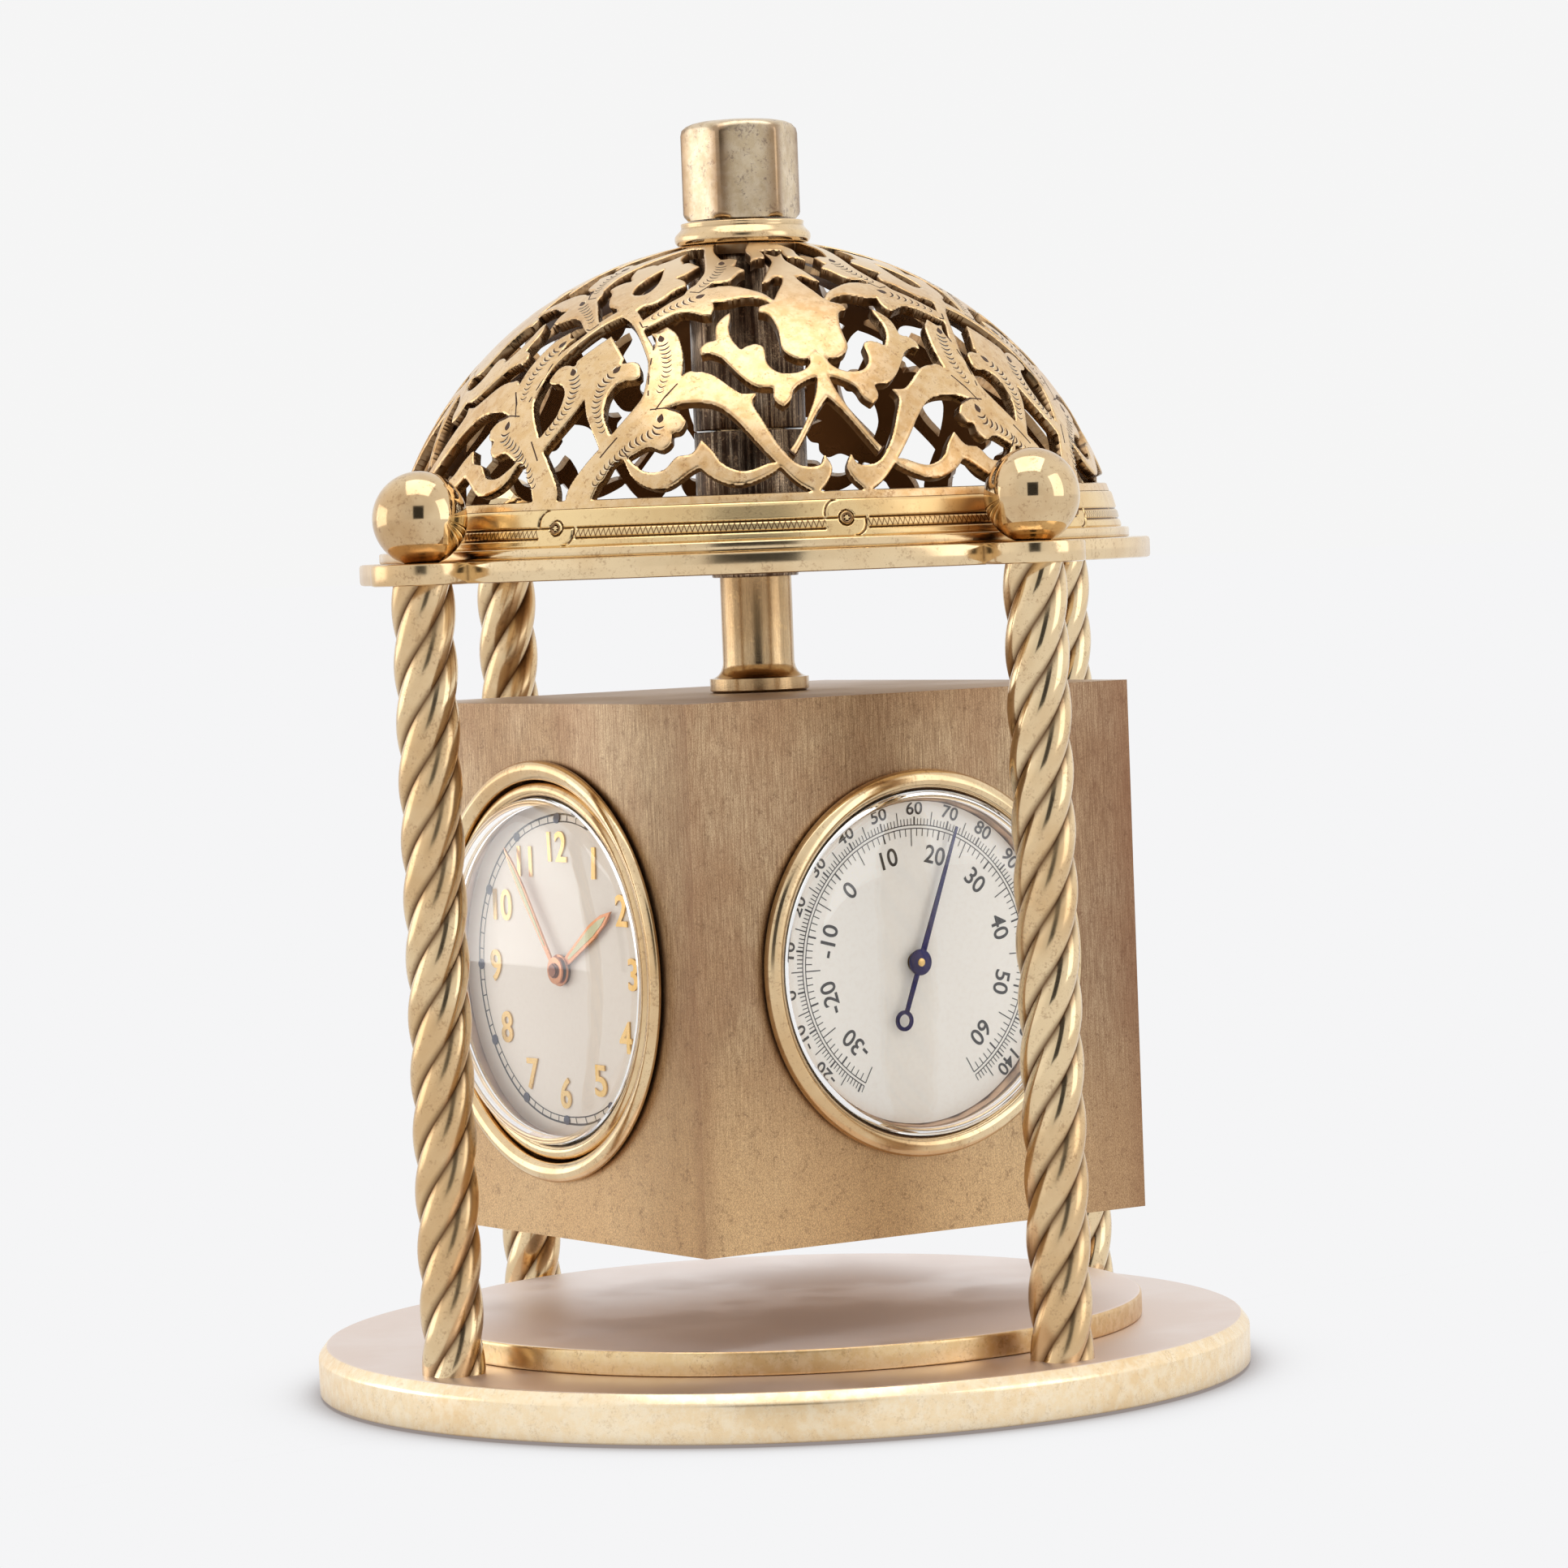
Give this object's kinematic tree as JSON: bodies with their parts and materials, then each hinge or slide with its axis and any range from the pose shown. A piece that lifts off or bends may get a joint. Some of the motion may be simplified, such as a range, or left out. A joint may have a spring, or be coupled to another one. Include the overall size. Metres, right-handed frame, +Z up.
{
  "type": "revolving cube desk clock",
  "caption": "Brass desk clock and weather station: a revolving cube of dials hangs between a round base and a pierced dome on twisted columns, turned by a knob on top.",
  "frame": {"origin": "on the table under the middle of the round base", "axes": "+Z up through the spindle and the knob; -Y towards the viewer, who stands in front between two columns"},
  "size_m": [0.125, 0.125, 0.1682],
  "materials": {
    "golden_brass": "satin lacquered, lightly aged",
    "brushed_brass": "vertically brushed, dull with age",
    "polished_brass": "polished",
    "dark_brass": "brushed, darkened",
    "steel": "plain turned",
    "blued_steel": "blued",
    "copper": "copper coloured, satin",
    "dial": "matte cream",
    "crystal": "clear domed",
    "felt": "dark green felt"
  },
  "bodies": {
    "stand": {"base_felt": "felt", "base_plate": "golden_brass", "base_disc": "golden_brass", "column_back_right": "polished_brass", "column_back_left": "polished_brass", "column_front_left": "polished_brass", "column_front_right": "polished_brass", "column_screw_back_right": "steel", "column_screw_back_left": "steel", "column_screw_front_left": "steel", "column_screw_front_right": "steel", "ball_finial_back_right": "polished_brass", "ball_finial_back_left": "polished_brass", "ball_finial_front_left": "polished_brass", "ball_finial_front_right": "polished_brass", "top_plate": "golden_brass", "dome_ring": "golden_brass", "pierced_dome": "golden_brass", "dome_collar": "polished_brass", "upper_sleeve": "dark_brass", "lower_sleeve": "dark_brass"},
    "cube": {"spindle": "polished_brass", "spindle_nut": "steel", "hex_knob": "golden_brass", "cube_case": "brushed_brass", "cube_cover": "brushed_brass", "clock_ring": "polished_brass", "thermometer_bezel": "polished_brass", "thermometer_crystal": "crystal", "thermometer_dial": "dial", "thermometer_case": "dark_brass", "barometer_bezel": "polished_brass", "barometer_crystal": "crystal", "barometer_dial": "dial", "barometer_case": "dark_brass", "hygrometer_bezel": "polished_brass", "hygrometer_crystal": "crystal", "hygrometer_dial": "dial", "hygrometer_case": "dark_brass", "bimetal_coil": "copper", "aneroid_capsule": "golden_brass", "hygroscopic_coil": "copper"},
    "clock_insert": {"clock_bezel": "polished_brass", "clock_crystal": "crystal", "clock_case": "dark_brass", "clock_dial": "dial", "movement_front_plate": "golden_brass", "movement_back_plate": "golden_brass"},
    "minute_train": {"minute_hand": "copper", "centre_arbor": "steel", "setting_knob": "golden_brass"},
    "hour_train": {"hour_hand": "copper", "hour_wheel": "golden_brass"},
    "motion_wheel": {"minute_wheel": "golden_brass"},
    "barrel": {"mainspring_barrel": "golden_brass"},
    "balance": {"balance_wheel": "golden_brass"},
    "key": {"winding_key": "steel"},
    "thermometer_pointer": {"thermometer_hand": "blued_steel"},
    "barometer_pointer": {"barometer_hand": "blued_steel"},
    "hygrometer_pointer": {"hygrometer_hand": "blued_steel"}
  },
  "joints": [
    {"name": "cube_spin", "type": "hinge", "parent": "stand", "child": "cube", "pos_m": [0, 0, 0.0918], "axis": [0, 0, 1], "continuous": true},
    {"name": "clock_pull", "type": "slide", "parent": "cube", "child": "clock_insert", "axis": [-0.7727, -0.6347, 0], "range_m": [0, 0.008]},
    {"name": "minute_turn", "type": "hinge", "parent": "clock_insert", "child": "minute_train", "pos_m": [-0.02705, -0.02222, 0.0568], "axis": [0.7727, 0.6347, 0], "continuous": true},
    {"name": "hour_turn", "type": "hinge", "parent": "clock_insert", "child": "hour_train", "pos_m": [-0.02705, -0.02222, 0.0568], "axis": [0.7727, 0.6347, 0], "continuous": true},
    {"name": "motion_wheel_turn", "type": "hinge", "parent": "clock_insert", "child": "motion_wheel", "pos_m": [-0.02317, -0.02693, 0.0568], "axis": [0.7727, 0.6347, 0], "continuous": true},
    {"name": "barrel_turn", "type": "hinge", "parent": "clock_insert", "child": "barrel", "pos_m": [-0.03377, -0.01402, 0.0568], "axis": [0.7727, 0.6347, 0], "continuous": true},
    {"name": "balance_swing", "type": "hinge", "parent": "clock_insert", "child": "balance", "pos_m": [-0.02215, -0.02818, 0.04761], "axis": [0.7727, 0.6347, 0], "range_deg": [-135, 135]},
    {"name": "key_turn", "type": "hinge", "parent": "clock_insert", "child": "key", "pos_m": [-0.03377, -0.01402, 0.0568], "axis": [0.7727, 0.6347, 0], "range_deg": [0, 1440]},
    {"name": "thermometer_turn", "type": "hinge", "parent": "cube", "child": "thermometer_pointer", "pos_m": [0.02222, -0.02705, 0.0568], "axis": [-0.6347, 0.7727, 0], "range_deg": [-171, 129]},
    {"name": "barometer_turn", "type": "hinge", "parent": "cube", "child": "barometer_pointer", "pos_m": [0.02705, 0.02222, 0.0568], "axis": [-0.7727, -0.6347, 0], "range_deg": [-162, 138]},
    {"name": "hygrometer_turn", "type": "hinge", "parent": "cube", "child": "hygrometer_pointer", "pos_m": [-0.02222, 0.02705, 0.0568], "axis": [0.6347, -0.7727, 0], "range_deg": [-164, 136]}
  ],
  "couplings": [
    {"joint": "hour_turn", "follows": "minute_turn", "ratio": 0.083333},
    {"joint": "motion_wheel_turn", "follows": "minute_turn", "ratio": -0.33333},
    {"joint": "barrel_turn", "follows": "minute_turn", "ratio": -0.16667}
  ]
}
